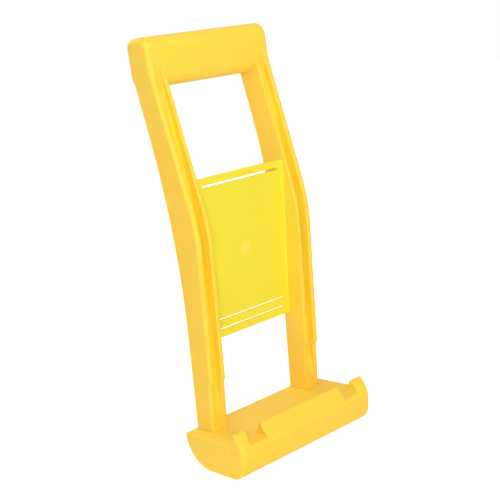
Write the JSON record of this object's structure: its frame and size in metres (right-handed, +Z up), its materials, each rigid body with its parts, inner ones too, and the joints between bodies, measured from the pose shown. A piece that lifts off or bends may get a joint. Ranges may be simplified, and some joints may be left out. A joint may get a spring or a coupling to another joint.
{
  "type": "panel carrier",
  "caption": "Moulded plastic hand carrier for boards: a grip bar on two bowed channel rails, a slotted centre panel and a hooked tray that takes the board's bottom edge.",
  "frame": {"origin": "on the ground under the middle of the whole carrier", "axes": "+Z up from the tray to the handle, X along the handle, -Y towards the lip, where the board goes"},
  "size_m": [0.154, 0.08, 0.3705],
  "materials": {
    "carrier_yellow": "satin moulded polypropylene, warm yellow",
    "panel_lemon": "satin moulded polypropylene, thin and slightly translucent, lemon yellow"
  },
  "bodies": {
    "root": {"tray_base": "carrier_yellow", "front_lip": "carrier_yellow", "left_rail": "carrier_yellow", "right_rail": "carrier_yellow", "centre_panel": "panel_lemon", "handle_grip": "carrier_yellow"}
  },
  "joints": []
}
